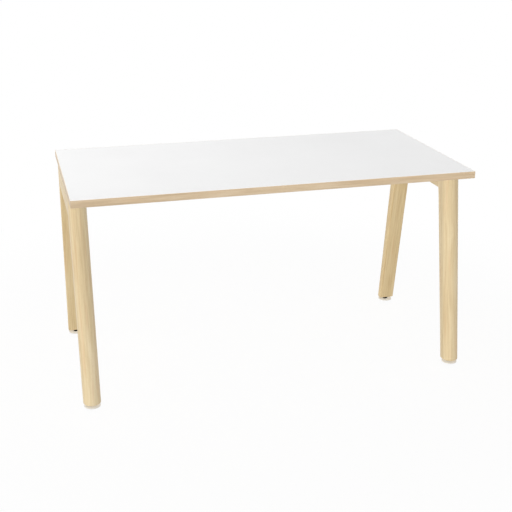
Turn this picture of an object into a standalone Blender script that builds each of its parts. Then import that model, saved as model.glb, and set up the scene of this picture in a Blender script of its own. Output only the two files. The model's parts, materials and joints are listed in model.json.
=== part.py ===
"""Plain hall table: a laminate top on two splayed wooden end frames.

Units are metres and +Z is up. The origin lies on the floor under the middle
of the table. X runs along its length and -Y points to its front.
"""

import math

import bmesh
import bpy
from mathutils import Matrix, Vector

# Table as a whole
TABLE_LENGTH = 1.400
TABLE_DEPTH = 0.700
TABLE_HEIGHT = 0.745
FIT_GAP = 0.0003

# Top: core board between two laminates, with a band glued round its edge
TOP_THICKNESS = 0.025
LAMINATE_THICKNESS = 0.0008
BAND_THICKNESS = 0.002
BAND_ROUNDING = 0.0008

# Legs: half-round outside, straight sides, flat inside, leaning out to the foot
LEG_WIDTH = 0.060
LEG_SIDE_TOP = 0.0365
LEG_SIDE_FOOT = 0.0165
LEG_SETBACK_TOP = 0.1055
LEG_SETBACK_FOOT = 0.001
LEG_CORNER_RADIUS = 0.003
LEG_SEAM_RADIUS = 0.0006
LEG_SEAM_FADE = 0.024
LEG_FOOT_CHAMFER = 0.002

# End rails, flush with both sides of the legs, and their loose tenons
RAIL_HEIGHT = 0.072
RAIL_ARRIS = 0.002
TENON_THICKNESS = 0.012
TENON_HEIGHT = 0.040
TENON_LENGTH = 0.066

# Steel beams from rail to rail under the top
BEAM_WIDTH = 0.020
BEAM_HEIGHT = 0.040
BEAM_WALL = 0.0015
BEAM_CORNER_RADIUS = 0.003
BEAM_INSET = 0.063
FLANGE_THICKNESS = 0.004
FLANGE_EAR = 0.022
FLANGE_DROP = 0.012
FLANGE_CORNER_RADIUS = 0.005

# Bolts and the threaded inserts that take them
BOLT_DIAMETER = 0.006
BOLT_HEAD_DIAMETER = 0.0105
BOLT_HEAD_HEIGHT = 0.0045
BOLT_KEY_WIDTH = 0.004
BOLT_KEY_DEPTH = 0.0025
BOLT_TIP_CHAMFER = 0.0008
BEAM_BOLT_REACH = 0.012
TOP_BOLT_REACH = 0.011
TOP_BOLT_GRIP = 0.040
TOP_BOLT_SPACING = 0.120
COUNTERBORE_DIAMETER = 0.014
INSERT_DIAMETER = 0.010
RAIL_INSERT_LENGTH = 0.015
TOP_INSERT_LENGTH = 0.013

# Wood screws that hold each beam to the top
SCREW_DIAMETER = 0.005
SCREW_REACH = 0.016
SCREW_TIP = 0.005
SCREW_HEAD_DIAMETER = 0.010
SCREW_HEAD_HEIGHT = 0.003
SCREW_KEY_WIDTH = 0.003
SCREW_KEY_DEPTH = 0.0016
SCREW_SPACING = 0.700
SCREW_ACCESS_DIAMETER = 0.012

# Levelling feet: pad, threaded stud with a hexagonal collar, insert in the leg
PAD_DIAMETER = 0.056
PAD_THICKNESS = 0.003
PAD_ROUNDING = 0.0015
PAD_FLOOR = 0.0008
COLLAR_WIDTH = 0.019
COLLAR_HEIGHT = 0.008
STUD_DIAMETER = 0.008
STUD_LENGTH = 0.035
STUD_TIP_CHAMFER = 0.001
STUD_NECK_DIAMETER = 0.009
STUD_NECK_HEIGHT = 0.0009
STUD_BEAD_DIAMETER = 0.011
FOOT_INSERT_DIAMETER = 0.014
FOOT_INSERT_LENGTH = 0.022
FOOT_INSERT_RIM_DIAMETER = 0.020
FOOT_INSERT_RIM_HEIGHT = 0.0015
STUD_BORE_SPARE = 0.004

# Facets of round shapes
LEG_ARC_STEPS = 20
CORNER_STEPS = 3
BOLT_SIDES = 12
FOOT_SIDES = 16
PAD_SIDES = 28
HEXAGON_SIDES = 6
MERGE_DISTANCE = 0.00001
CUT_MARGIN = 0.005
WELD_OVERLAP = 0.001
SHARP_ANGLE = math.radians(35)

# Levels and places that follow from the sizes above
HALF_LENGTH = TABLE_LENGTH / 2
HALF_DEPTH = TABLE_DEPTH / 2
UNDERSIDE = TABLE_HEIGHT - TOP_THICKNESS
FRAME_TOP = UNDERSIDE - FIT_GAP
LEG_BOTTOM = PAD_THICKNESS + COLLAR_HEIGHT + 2 * FIT_GAP
LEG_RADIUS = LEG_WIDTH / 2
FRAME_X = HALF_LENGTH - LEG_RADIUS
RAIL_FACE_X = HALF_LENGTH - LEG_WIDTH
RAIL_BOTTOM = UNDERSIDE - RAIL_HEIGHT
FOOT_Y = HALF_DEPTH - LEG_SETBACK_FOOT - LEG_RADIUS
TENON_Z = (RAIL_BOTTOM + FRAME_TOP) / 2
INNER_HALF_LENGTH = HALF_LENGTH - BAND_THICKNESS - FIT_GAP
INNER_HALF_DEPTH = HALF_DEPTH - BAND_THICKNESS - FIT_GAP
CORE_BOTTOM = UNDERSIDE + LAMINATE_THICKNESS + FIT_GAP
CORE_TOP = TABLE_HEIGHT - LAMINATE_THICKNESS - FIT_GAP
FLANGE_WIDTH = BEAM_WIDTH + 2 * FLANGE_EAR
FLANGE_HEIGHT = BEAM_HEIGHT + FLANGE_DROP
FLANGE_BOLT_Y = (BEAM_WIDTH + FLANGE_EAR) / 2
FLANGE_BOLT_Z = FRAME_TOP - BEAM_HEIGHT / 2
FLANGE_OUTER_X = RAIL_FACE_X - FIT_GAP
TOP_BOLT_SEAT = FRAME_TOP - TOP_BOLT_GRIP

SIDES_X = (("left", -1), ("right", 1))
SIDES_Y = (("front", -1), ("rear", 1))


def leg_share(z):
    """Share of the way from the leg's bottom (0) to its top (1)."""
    return (z - LEG_BOTTOM) / (FRAME_TOP - LEG_BOTTOM)


def leg_side(z):
    """Length of the straight side of the leg's section at height z."""
    return LEG_SIDE_FOOT + (LEG_SIDE_TOP - LEG_SIDE_FOOT) * leg_share(z)


def leg_centre_y(z):
    """Place of the centre of the leg's half-round at height z."""
    setback = LEG_SETBACK_FOOT + (LEG_SETBACK_TOP - LEG_SETBACK_FOOT) * leg_share(z)
    return HALF_DEPTH - setback - LEG_RADIUS


def leg_inner_y(z):
    """Place of the leg's flat inner face at height z."""
    return leg_centre_y(z) - leg_side(z)


BEAM_Y = leg_inner_y(FRAME_TOP) - BEAM_INSET
TENON_Y = leg_inner_y(TENON_Z)


# Scene, materials and objects

def new_collection(name):
    group = bpy.data.collections.new(name)
    bpy.context.scene.collection.children.link(group)
    return group


def new_material(name, colour, roughness, metallic=0.0):
    finish = bpy.data.materials.new(name)
    finish.use_nodes = True
    shader = finish.node_tree.nodes["Principled BSDF"]
    shader.inputs["Base Color"].default_value = (*colour, 1.0)
    shader.inputs["Roughness"].default_value = roughness
    shader.inputs["Metallic"].default_value = metallic
    return finish


def add_part(name, mesh, finish, location=(0, 0, 0), rotation=(0, 0, 0), parent=None):
    """One sub-part. Like sub-parts share their mesh and its material."""
    if not mesh.materials:
        mesh.materials.append(finish)
    part = bpy.data.objects.new(name, mesh)
    part.location = location
    part.rotation_euler = rotation
    part.parent = parent
    parts.objects.link(part)
    return part


def add_empty(name, location):
    empty = bpy.data.objects.new(name, None)
    empty.location = location
    parts.objects.link(empty)
    return empty


# Shapes

def mesh_of(name, shape):
    """Turn a bmesh into a mesh, smooth except at its sharp edges."""
    mesh = bpy.data.meshes.new(name)
    shape.to_mesh(mesh)
    shape.free()
    mesh.shade_smooth()
    mesh.set_sharp_from_angle(angle=SHARP_ANGLE)
    return mesh


def evaluated_mesh(name, source):
    """Bake an object with its modifiers into a welded mesh, and remove the object."""
    bpy.context.view_layer.update()
    depsgraph = bpy.context.evaluated_depsgraph_get()
    baked = bpy.data.meshes.new_from_object(source.evaluated_get(depsgraph))
    bpy.data.objects.remove(source)
    shape = bmesh.new()
    shape.from_mesh(baked)
    bpy.data.meshes.remove(baked)
    bmesh.ops.remove_doubles(shape, verts=shape.verts, dist=MERGE_DISTANCE)
    return mesh_of(name, shape)


def box(name, low, high):
    shape = bmesh.new()
    bmesh.ops.create_cube(shape, size=1.0)
    size = Vector(high) - Vector(low)
    middle = (Vector(high) + Vector(low)) / 2
    bmesh.ops.transform(shape, matrix=Matrix.LocRotScale(middle, None, size), verts=shape.verts)
    return mesh_of(name, shape)


def rod(name, diameter, low, high, sides):
    """Upright round bar, or prism, from height low to height high on the Z axis."""
    shape = bmesh.new()
    middle = Matrix.Translation((0, 0, (low + high) / 2))
    bmesh.ops.create_cone(shape, cap_ends=True, segments=sides, radius1=diameter / 2,
                          radius2=diameter / 2, depth=high - low, matrix=middle)
    return mesh_of(name, shape)


def turned(name, profile, sides, closed=False):
    """Turn a profile of (radius, height) points, listed down the outer side, about Z."""
    count = len(profile)
    edges = [(index, index + 1) for index in range(count - 1)]
    if closed:
        edges.append((count - 1, 0))
    line = bpy.data.meshes.new(name)
    line.from_pydata([(radius, 0, z) for radius, z in profile], edges, [])
    blank = bpy.data.objects.new(name, line)
    workbench.objects.link(blank)
    screw = blank.modifiers.new("turn", "SCREW")
    screw.steps = sides
    screw.render_steps = sides
    screw.use_merge_vertices = True
    screw.merge_threshold = MERGE_DISTANCE
    return evaluated_mesh(name, blank)


def arc(centre, radius, start, end, steps):
    """Points of a flat arc between two angles in degrees."""
    points = []
    for step in range(steps + 1):
        angle = math.radians(start + (end - start) * step / steps)
        points.append((centre[0] + radius * math.cos(angle), centre[1] + radius * math.sin(angle)))
    return points


def rounded_rectangle(width, height, radius, middle=(0, 0)):
    across = width / 2 - radius
    up = height / 2 - radius
    points = []
    for quarter, (side_x, side_y) in enumerate(((1, 1), (-1, 1), (-1, -1), (1, -1))):
        centre = (middle[0] + side_x * across, middle[1] + side_y * up)
        points += arc(centre, radius, 90 * quarter, 90 * quarter + 90, CORNER_STEPS)
    return points


def stadium(width, height, steps):
    """Upright slot outline: a rectangle with half-round ends."""
    up = (height - width) / 2
    return arc((0, up), width / 2, 0, 180, steps) + arc((0, -up), width / 2, 180, 360, steps)


def extruded(name, outlines, length):
    """Fill flat outlines, an inner one being a hole, and extrude them evenly about Z = 0."""
    curve = bpy.data.curves.new(name, "CURVE")
    curve.dimensions = "2D"
    curve.fill_mode = "BOTH"
    curve.extrude = length / 2
    for outline in outlines:
        spline = curve.splines.new("POLY")
        spline.points.add(len(outline) - 1)
        for point, (across, up) in zip(spline.points, outline):
            point.co = (across, up, 0, 1)
        spline.use_cyclic_u = True
    blank = bpy.data.objects.new(name, curve)
    workbench.objects.link(blank)
    return evaluated_mesh(name, blank)


def loft(name, rings):
    """Skin rings of equally many points, listed upwards and counter-clockwise, and cap the ends."""
    shape = bmesh.new()
    rows = [[shape.verts.new(point) for point in ring] for ring in rings]
    count = len(rows[0])
    for lower, upper in zip(rows, rows[1:]):
        for index in range(count):
            after = (index + 1) % count
            shape.faces.new((lower[index], lower[after], upper[after], upper[index]))
    shape.faces.new(reversed(rows[0]))
    shape.faces.new(rows[-1])
    return mesh_of(name, shape)


def placed(mesh, location=(0, 0, 0), rotation=None):
    """Move a mesh that serves as a cutter or is welded on, and give it back."""
    turn = rotation.to_4x4() if rotation else Matrix.Identity(4)
    mesh.transform(Matrix.Translation(location) @ turn)
    return mesh


def combined(name, base, tools, operation="DIFFERENCE"):
    """Cut the tools out of the base, or weld them to it."""
    blank = bpy.data.objects.new(name, base)
    workbench.objects.link(blank)
    helpers = []
    for tool in tools:
        helper = bpy.data.objects.new(tool.name, tool)
        helper.hide_render = True
        helper.display_type = "WIRE"
        workbench.objects.link(helper)
        helpers.append(helper)
        boolean = blank.modifiers.new(tool.name, "BOOLEAN")
        boolean.operation = operation
        boolean.object = helper
    mesh = evaluated_mesh(name, blank)
    for helper in helpers:
        bpy.data.objects.remove(helper)
    return mesh


ALONG_X = Matrix.Rotation(math.pi / 2, 3, "Z") @ Matrix.Rotation(math.pi / 2, 3, "X")
ALONG_Y = Matrix.Rotation(math.pi / 2, 3, "X")
Z_TO_X = Matrix.Rotation(math.pi / 2, 3, "Y")


# Top

def corner_points(x, y):
    """The four places at plus and minus x and y."""
    return [(side_x * x, side_y * y) for _, side_x in SIDES_X for _, side_y in SIDES_Y]


def top_insert_places():
    return corner_points(FRAME_X, TOP_BOLT_SPACING / 2)


def screw_places():
    return corner_points(SCREW_SPACING / 2, BEAM_Y)


def insert_hole(low, high):
    return rod("insert_hole", INSERT_DIAMETER + 2 * FIT_GAP, low, high, BOLT_SIDES)


def screw_hole(low, high):
    return rod("screw_hole", SCREW_DIAMETER + 2 * FIT_GAP, low, high, BOLT_SIDES)


def sheet(name, low, high):
    """Board or laminate of the top, inside the edge bands."""
    reach_x = INNER_HALF_LENGTH
    reach_y = INNER_HALF_DEPTH
    return box(name, (-reach_x, -reach_y, low), (reach_x, reach_y, high))


def drilled_sheet(name, low, high, insert_end, screw_end):
    """Sheet with the holes that the frame's inserts and screws take from below."""
    cuts = []
    for x, y in top_insert_places():
        cuts.append(placed(insert_hole(low - CUT_MARGIN, insert_end), (x, y, 0)))
    for x, y in screw_places():
        cuts.append(placed(screw_hole(low - CUT_MARGIN, screw_end), (x, y, 0)))
    return combined(name, sheet(name, low, high), cuts)


def band_mesh(name, length):
    """Edge band along X: flat inside at Y = 0, rounded along its two outer edges at -Y."""
    half = TOP_THICKNESS / 2
    shoulder = half - BAND_ROUNDING
    outside = BAND_ROUNDING - BAND_THICKNESS
    outline = [(0, -half), (0, half)]
    outline += arc((outside, shoulder), BAND_ROUNDING, 90, 180, CORNER_STEPS)
    outline += arc((outside, -shoulder), BAND_ROUNDING, 180, 270, CORNER_STEPS)
    return placed(extruded(name, [outline], length), rotation=ALONG_X)


def build_top():
    white = new_material("white_laminate", (0.90, 0.90, 0.89), 0.35)
    backing = new_material("backing_laminate", (0.80, 0.79, 0.77), 0.5)
    board = new_material("core_board", (0.50, 0.36, 0.21), 0.9)
    grained = new_material("edge_wood", (0.66, 0.50, 0.34), 0.45)

    insert_end = UNDERSIDE + TOP_INSERT_LENGTH + FIT_GAP
    screw_end = UNDERSIDE + SCREW_REACH + FIT_GAP
    core = drilled_sheet("top_core", CORE_BOTTOM, CORE_TOP, insert_end, screw_end)
    add_part("top_core", core, board)
    add_part("top_laminate", sheet("top_laminate", CORE_TOP + FIT_GAP, TABLE_HEIGHT), white)
    under = UNDERSIDE + LAMINATE_THICKNESS
    lower = drilled_sheet("backing_laminate", UNDERSIDE, under, under + CUT_MARGIN, under + CUT_MARGIN)
    add_part("backing_laminate", lower, backing)

    middle = (UNDERSIDE + TABLE_HEIGHT) / 2
    long_band = band_mesh("long_band", TABLE_LENGTH)
    short_band = band_mesh("short_band", 2 * INNER_HALF_DEPTH)
    seat = BAND_THICKNESS
    add_part("edge_band_front", long_band, grained, (0, seat - HALF_DEPTH, middle))
    add_part("edge_band_rear", long_band, grained, (0, HALF_DEPTH - seat, middle), (0, 0, math.pi))
    add_part("edge_band_left", short_band, grained, (seat - HALF_LENGTH, 0, middle), (0, 0, -math.pi / 2))
    add_part("edge_band_right", short_band, grained, (HALF_LENGTH - seat, 0, middle), (0, 0, math.pi / 2))


# End frames

def leg_ring(z, inset, corner):
    """Section of the rear leg at height z: half-round at +Y, flat at -Y."""
    radius = LEG_RADIUS - inset
    back = leg_side(z) - inset
    outline = arc((0, 0), radius, 0, 180, LEG_ARC_STEPS)
    outline += arc((corner - radius, corner - back), corner, 180, 270, CORNER_STEPS)
    outline += arc((radius - corner, corner - back), corner, 270, 360, CORNER_STEPS)
    middle = leg_centre_y(z)
    return [(x, middle + y, z) for x, y in outline]


def mortise(y):
    """Slot for a loose tenon that crosses the joint at y."""
    clear = 2 * FIT_GAP
    outline = stadium(TENON_THICKNESS + clear, TENON_HEIGHT + clear, BOLT_SIDES // 2)
    slot = extruded("mortise", [outline], TENON_LENGTH + clear)
    return placed(slot, (0, y, TENON_Z), ALONG_Y)


def foot_bore():
    """Stepped bore in the leg's bottom: insert's rim, insert and the stud's spare room."""
    rim = FOOT_INSERT_RIM_DIAMETER / 2 + FIT_GAP
    body = FOOT_INSERT_DIAMETER / 2 + FIT_GAP
    room = STUD_DIAMETER / 2 + FIT_GAP
    end = LEG_BOTTOM - FIT_GAP + STUD_LENGTH + STUD_BORE_SPARE
    body_end = LEG_BOTTOM + FOOT_INSERT_LENGTH + FIT_GAP
    rim_end = LEG_BOTTOM + FOOT_INSERT_RIM_HEIGHT + FIT_GAP
    start = LEG_BOTTOM - CUT_MARGIN
    profile = [(0, end), (room, end), (room, body_end), (body, body_end), (body, rim_end),
               (rim, rim_end), (rim, start), (0, start)]
    return placed(turned("foot_bore", profile, FOOT_SIDES), (0, FOOT_Y, 0))


def leg_mesh():
    """Rear leg, seen from the middle of its end frame; a front leg is the same leg turned round."""
    chamfer_top = LEG_BOTTOM + LEG_FOOT_CHAMFER
    rings = [
        leg_ring(LEG_BOTTOM, LEG_FOOT_CHAMFER, LEG_CORNER_RADIUS),
        leg_ring(chamfer_top, 0, LEG_CORNER_RADIUS),
        leg_ring(RAIL_BOTTOM - LEG_SEAM_FADE, 0, LEG_CORNER_RADIUS),
        leg_ring(RAIL_BOTTOM, 0, LEG_SEAM_RADIUS),
        leg_ring(FRAME_TOP, 0, LEG_SEAM_RADIUS),
    ]
    return combined("leg", loft("leg", rings), [mortise(TENON_Y), foot_bore()])


def rail_section():
    """Section of a rail across its length, with both lower edges eased."""
    ease = RAIL_ARRIS
    low = RAIL_BOTTOM + ease
    side = LEG_RADIUS - ease
    outline = arc((-side, low), ease, 180, 270, CORNER_STEPS)
    outline += arc((side, low), ease, 270, 360, CORNER_STEPS)
    return outline + [(LEG_RADIUS, FRAME_TOP), (-LEG_RADIUS, FRAME_TOP)]


def rail_end(side):
    """Rail section laid on the slanting inner face of the front (-1) or rear (1) leg."""
    return [(x, side * (leg_inner_y(z) - FIT_GAP), z) for x, z in rail_section()]


def top_bolt_hole():
    """Clearance hole up through a rail, with a counterbore for the bolt's head."""
    wide = COUNTERBORE_DIAMETER / 2
    shank = BOLT_DIAMETER / 2 + FIT_GAP
    above = FRAME_TOP + CUT_MARGIN
    below = RAIL_BOTTOM - CUT_MARGIN
    profile = [(0, above), (shank, above), (shank, TOP_BOLT_SEAT), (wide, TOP_BOLT_SEAT),
               (wide, below), (0, below)]
    return turned("top_bolt_hole", profile, BOLT_SIDES)


def rail_mesh():
    """Left rail: its +X side faces the other end frame and takes the beams' inserts."""
    cuts = [mortise(TENON_Y), mortise(-TENON_Y)]
    depth = RAIL_INSERT_LENGTH + FIT_GAP
    for _, side in SIDES_Y:
        cuts.append(placed(top_bolt_hole(), (0, side * TOP_BOLT_SPACING / 2, 0)))
        for _, ear in SIDES_Y:
            y = side * BEAM_Y + ear * FLANGE_BOLT_Y
            hole = insert_hole(-depth, CUT_MARGIN)
            cuts.append(placed(hole, (LEG_RADIUS, y, FLANGE_BOLT_Z), Z_TO_X))
    return combined("rail", loft("rail", [rail_end(1), rail_end(-1)]), cuts)


def tenon_mesh():
    outline = stadium(TENON_THICKNESS, TENON_HEIGHT, BOLT_SIDES // 2)
    return placed(extruded("tenon", [outline], TENON_LENGTH), rotation=ALONG_Y)


def build_end_frames():
    leg_wood = new_material("leg_wood", (0.74, 0.58, 0.37), 0.45)
    tenon_wood = new_material("tenon_wood", (0.60, 0.42, 0.26), 0.6)
    leg = leg_mesh()
    rail = rail_mesh()
    tenon = tenon_mesh()
    for end, side_x in SIDES_X:
        frame = add_empty(f"end_frame_{end}", (side_x * FRAME_X, 0, 0))
        rail_turn = 0 if side_x < 0 else math.pi
        add_part(f"end_rail_{end}", rail, leg_wood, rotation=(0, 0, rail_turn), parent=frame)
        for row, side_y in SIDES_Y:
            leg_turn = 0 if side_y > 0 else math.pi
            add_part(f"leg_{row}_{end}", leg, leg_wood, rotation=(0, 0, leg_turn), parent=frame)
            add_part(f"tenon_{row}_{end}", tenon, tenon_wood, (0, side_y * TENON_Y, TENON_Z), parent=frame)


# Beams

def beam_mesh():
    """Tube along X with its top at Z = 0, with a bolting flange welded on each end."""
    middle = (0, -BEAM_HEIGHT / 2)
    outer = rounded_rectangle(BEAM_WIDTH, BEAM_HEIGHT, BEAM_CORNER_RADIUS, middle)
    inner = rounded_rectangle(BEAM_WIDTH - 2 * BEAM_WALL, BEAM_HEIGHT - 2 * BEAM_WALL,
                              BEAM_CORNER_RADIUS - BEAM_WALL, middle)
    tube_half = FLANGE_OUTER_X - FLANGE_THICKNESS + WELD_OVERLAP
    tube = placed(extruded("tube", [outer, inner], 2 * tube_half), rotation=ALONG_X)

    flange_middle = (0, -FLANGE_HEIGHT / 2)
    flange_outline = rounded_rectangle(FLANGE_WIDTH, FLANGE_HEIGHT, FLANGE_CORNER_RADIUS, flange_middle)
    flange_x = FLANGE_OUTER_X - FLANGE_THICKNESS / 2
    hole_diameter = BOLT_DIAMETER + 2 * FIT_GAP
    access_start = -BEAM_HEIGHT - CUT_MARGIN
    flanges = []
    cuts = []
    for _, side_x in SIDES_X:
        plate = extruded("flange", [flange_outline], FLANGE_THICKNESS)
        flanges.append(placed(plate, (side_x * flange_x, 0, 0), ALONG_X))
        for _, ear in SIDES_Y:
            hole = rod("flange_hole", hole_diameter, -FLANGE_THICKNESS, FLANGE_THICKNESS, BOLT_SIDES)
            spot = (side_x * flange_x, ear * FLANGE_BOLT_Y, FLANGE_BOLT_Z - FRAME_TOP)
            cuts.append(placed(hole, spot, Z_TO_X))
        spot = (side_x * SCREW_SPACING / 2, 0, 0)
        cuts.append(placed(screw_hole(-BEAM_HEIGHT / 2, CUT_MARGIN), spot))
        access = rod("access_hole", SCREW_ACCESS_DIAMETER, access_start, -BEAM_HEIGHT / 2, BOLT_SIDES)
        cuts.append(placed(access, spot))
    welded = combined("welded_beam", tube, flanges, "UNION")
    return combined("beam", welded, cuts)


def build_beams():
    painted = new_material("painted_steel", (0.78, 0.78, 0.77), 0.5)
    beam = beam_mesh()
    for row, side_y in SIDES_Y:
        add_part(f"beam_{row}", beam, painted, (0, side_y * BEAM_Y, FRAME_TOP))


# Fasteners

def bolt_mesh(name, shank, head, key, length, tip):
    """Bolt or screw along Z, its head's bearing face at Z = 0 and its tip up.

    shank is a diameter, head and key are (width, height), and tip is the (inset, length) of its point.
    """
    radius = shank / 2
    head_radius = head[0] / 2
    head_end = -head[1]
    ease = (head[1] - key[1]) / 2
    tip_inset, tip_length = tip
    profile = [(0, length), (radius - tip_inset, length), (radius, length - tip_length), (radius, 0),
               (head_radius, 0), (head_radius, head_end + ease), (head_radius - ease, head_end),
               (0, head_end)]
    blank = turned(name, profile, BOLT_SIDES)
    across_corners = key[0] / math.cos(math.pi / HEXAGON_SIDES)
    socket = rod("key_socket", across_corners, head_end - CUT_MARGIN, head_end + key[1], HEXAGON_SIDES)
    return combined(name, blank, [socket])


def insert_mesh(name, length):
    """Threaded insert along Z, its mouth at Z = 0 and its body up."""
    outside = INSERT_DIAMETER / 2
    bore = BOLT_DIAMETER / 2 + FIT_GAP
    profile = [(outside, length), (outside, 0), (bore, 0), (bore, length)]
    return turned(name, profile, BOLT_SIDES, closed=True)


def build_fasteners():
    zinc = new_material("zinc_steel", (0.62, 0.63, 0.65), 0.35, 1.0)
    sleeve = new_material("insert_steel", (0.58, 0.54, 0.42), 0.4, 1.0)
    head = (BOLT_HEAD_DIAMETER, BOLT_HEAD_HEIGHT)
    key = (BOLT_KEY_WIDTH, BOLT_KEY_DEPTH)
    tip = (BOLT_TIP_CHAMFER, BOLT_TIP_CHAMFER)
    beam_bolt_length = FLANGE_THICKNESS + 2 * FIT_GAP + BEAM_BOLT_REACH
    beam_bolt = bolt_mesh("beam_bolt", BOLT_DIAMETER, head, key, beam_bolt_length, tip)
    top_bolt_length = TOP_BOLT_GRIP + 2 * FIT_GAP + TOP_BOLT_REACH
    top_bolt = bolt_mesh("top_bolt", BOLT_DIAMETER, head, key, top_bolt_length, tip)
    screw_head = (SCREW_HEAD_DIAMETER, SCREW_HEAD_HEIGHT)
    screw_key = (SCREW_KEY_WIDTH, SCREW_KEY_DEPTH)
    screw_length = BEAM_WALL + 2 * FIT_GAP + SCREW_REACH
    screw_tip = (SCREW_DIAMETER / 2 - BOLT_TIP_CHAMFER, SCREW_TIP)
    screw = bolt_mesh("beam_screw", SCREW_DIAMETER, screw_head, screw_key, screw_length, screw_tip)
    rail_insert = insert_mesh("rail_insert", RAIL_INSERT_LENGTH)
    top_insert = insert_mesh("top_insert", TOP_INSERT_LENGTH)

    bolt_x = FLANGE_OUTER_X - FLANGE_THICKNESS - FIT_GAP
    screw_z = FRAME_TOP - BEAM_WALL - FIT_GAP
    for end, side_x in SIDES_X:
        sideways = (0, side_x * math.pi / 2, 0)
        for row, side_y in SIDES_Y:
            corner = f"{row}_{end}"
            spot = (side_x * FRAME_X, side_y * TOP_BOLT_SPACING / 2)
            add_part(f"top_bolt_{corner}", top_bolt, zinc, (*spot, TOP_BOLT_SEAT - FIT_GAP))
            add_part(f"top_insert_{corner}", top_insert, sleeve, (*spot, UNDERSIDE))
            spot = (side_x * SCREW_SPACING / 2, side_y * BEAM_Y, screw_z)
            add_part(f"beam_screw_{corner}", screw, zinc, spot)
            for place, ear in (("outer", 1), ("inner", -1)):
                y = side_y * (BEAM_Y + ear * FLANGE_BOLT_Y)
                spot = (side_x * bolt_x, y, FLANGE_BOLT_Z)
                add_part(f"beam_bolt_{corner}_{place}", beam_bolt, zinc, spot, sideways)
                spot = (side_x * RAIL_FACE_X, y, FLANGE_BOLT_Z)
                add_part(f"rail_insert_{corner}_{place}", rail_insert, sleeve, spot, sideways)


# Levelling feet

def pad_mesh():
    """Round pad on the floor, with an undercut socket that holds the stud's bead."""
    rim = PAD_DIAMETER / 2
    mouth = STUD_NECK_DIAMETER / 2 + FIT_GAP
    room = STUD_BEAD_DIAMETER / 2 + FIT_GAP
    lip = PAD_THICKNESS + FIT_GAP - STUD_NECK_HEIGHT
    profile = [(0, PAD_FLOOR), (room, PAD_FLOOR), (room, lip), (mouth, lip), (mouth, PAD_THICKNESS)]
    shoulder = (rim - PAD_ROUNDING, PAD_THICKNESS - PAD_ROUNDING)
    profile += arc(shoulder, PAD_ROUNDING, 90, 0, CORNER_STEPS)
    profile += [(rim, FIT_GAP), (rim - FIT_GAP, 0), (0, 0)]
    return turned("foot_pad", profile, PAD_SIDES)


def stud_mesh():
    """Threaded stud standing in the pad: thread, hexagonal collar, neck and bead."""
    collar_bottom = PAD_THICKNESS + FIT_GAP
    collar_top = collar_bottom + COLLAR_HEIGHT
    top = collar_top + STUD_LENGTH
    thread = STUD_DIAMETER / 2
    neck = STUD_NECK_DIAMETER / 2
    bead = STUD_BEAD_DIAMETER / 2
    bead_top = collar_bottom - STUD_NECK_HEIGHT - FIT_GAP
    bead_bottom = PAD_FLOOR + FIT_GAP
    middle = (collar_bottom + collar_top) / 2
    profile = [(0, top), (thread - STUD_TIP_CHAMFER, top), (thread, top - STUD_TIP_CHAMFER),
               (thread, middle), (neck, middle), (neck, bead_top), (bead, bead_top),
               (bead, bead_bottom), (0, bead_bottom)]
    across_corners = COLLAR_WIDTH / math.cos(math.pi / HEXAGON_SIDES)
    collar = rod("collar", across_corners, collar_bottom, collar_top, HEXAGON_SIDES)
    return combined("foot_stud", turned("foot_stud", profile, FOOT_SIDES), [collar], "UNION")


def foot_insert_mesh():
    """Threaded insert of a leg, its rim level with the leg's bottom."""
    rim = FOOT_INSERT_RIM_DIAMETER / 2
    body = FOOT_INSERT_DIAMETER / 2
    bore = STUD_DIAMETER / 2 + FIT_GAP
    top = LEG_BOTTOM + FOOT_INSERT_LENGTH
    shoulder = LEG_BOTTOM + FOOT_INSERT_RIM_HEIGHT
    profile = [(body, top), (body, shoulder), (rim, shoulder), (rim, LEG_BOTTOM),
               (bore, LEG_BOTTOM), (bore, top)]
    return turned("foot_insert", profile, FOOT_SIDES, closed=True)


def build_feet():
    plastic = new_material("pad_plastic", (0.80, 0.78, 0.73), 0.55)
    black = new_material("black_steel", (0.02, 0.018, 0.015), 0.4)
    sleeve = new_material("foot_insert_steel", (0.58, 0.54, 0.42), 0.4, 1.0)
    pad = pad_mesh()
    stud = stud_mesh()
    insert = foot_insert_mesh()
    for end, side_x in SIDES_X:
        for row, side_y in SIDES_Y:
            axis = add_empty(f"foot_axis_{row}_{end}", (side_x * FRAME_X, side_y * FOOT_Y, 0))
            add_part(f"foot_pad_{row}_{end}", pad, plastic, parent=axis)
            add_part(f"foot_stud_{row}_{end}", stud, black, parent=axis)
            add_part(f"foot_insert_{row}_{end}", insert, sleeve, parent=axis)


for leftover in list(bpy.data.objects):
    bpy.data.objects.remove(leftover)

parts = new_collection("hall_table")
workbench = new_collection("cutters")
build_top()
build_end_frames()
build_beams()
build_fasteners()
build_feet()
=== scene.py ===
"""Looks of the hall table: fine meshes, procedural finishes, soft studio light and the camera."""

import json
import math

import bmesh
import bpy
from mathutils import Matrix, Vector


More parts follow.
